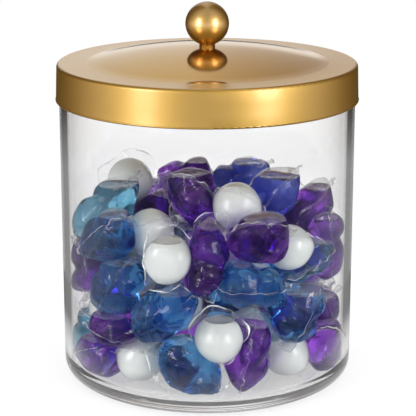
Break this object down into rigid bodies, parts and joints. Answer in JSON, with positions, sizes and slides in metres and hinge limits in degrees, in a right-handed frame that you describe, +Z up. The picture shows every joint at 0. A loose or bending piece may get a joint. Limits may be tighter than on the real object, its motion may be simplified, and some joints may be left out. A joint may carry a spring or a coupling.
{
  "type": "laundry pod container",
  "caption": "Clear round jar with a lift-off gold lid and ball knob, part filled with two-chamber laundry pods.",
  "frame": {"origin": "centre of the foot, on the surface that the jar stands on", "axes": "+Z up along the jar's axis, -Y towards the viewer of the picture"},
  "size_m": [0.1538, 0.1538, 0.193],
  "materials": {
    "jar_acrylic": "clear polished acrylic",
    "lid_gold": "satin gold coating on pressed steel",
    "knob_gold": "satin gold, turned",
    "seal_silicone": "translucent silicone",
    "fixing_steel": "bright zinc plate",
    "gel_purple": "clear film over purple gel, white chamber",
    "gel_blue": "clear film over blue gel, white chamber",
    "gel_periwinkle": "clear film over violet-blue gel, white chamber",
    "gel_cyan": "clear film over light blue gel, white chamber"
  },
  "bodies": {
    "jar": {"jar": "jar_acrylic", "pod_1": "gel_cyan", "pod_2": "gel_purple", "pod_3": "gel_blue", "pod_4": "gel_purple", "pod_5": "gel_purple", "pod_6": "gel_purple", "pod_7": "gel_purple", "pod_8": "gel_blue", "pod_9": "gel_blue", "pod_10": "gel_blue", "pod_11": "gel_blue", "pod_12": "gel_purple", "pod_13": "gel_blue", "pod_14": "gel_purple", "pod_15": "gel_blue", "pod_16": "gel_purple", "pod_17": "gel_purple", "pod_18": "gel_cyan", "pod_19": "gel_purple", "pod_20": "gel_purple", "pod_21": "gel_purple", "pod_22": "gel_periwinkle", "pod_23": "gel_purple", "pod_24": "gel_periwinkle", "pod_25": "gel_purple", "pod_26": "gel_purple", "pod_27": "gel_blue", "pod_28": "gel_purple", "pod_29": "gel_blue", "pod_30": "gel_purple", "pod_31": "gel_purple", "pod_32": "gel_blue", "pod_33": "gel_purple", "pod_34": "gel_purple", "pod_35": "gel_blue", "pod_36": "gel_purple", "pod_37": "gel_purple", "pod_38": "gel_blue", "pod_39": "gel_purple", "pod_40": "gel_blue", "pod_41": "gel_purple", "pod_42": "gel_purple", "pod_43": "gel_purple", "pod_44": "gel_blue", "pod_45": "gel_purple", "pod_46": "gel_blue", "pod_47": "gel_purple", "pod_48": "gel_blue"},
    "lid": {"lid_shell": "lid_gold", "seal_ring": "seal_silicone", "knob": "knob_gold", "knob_screw": "fixing_steel", "knob_washer": "fixing_steel"}
  },
  "joints": [
    {"name": "lid_lift", "type": "slide", "parent": "jar", "child": "lid", "axis": [0, 0, 1], "range_m": [0, 0.06]}
  ]
}
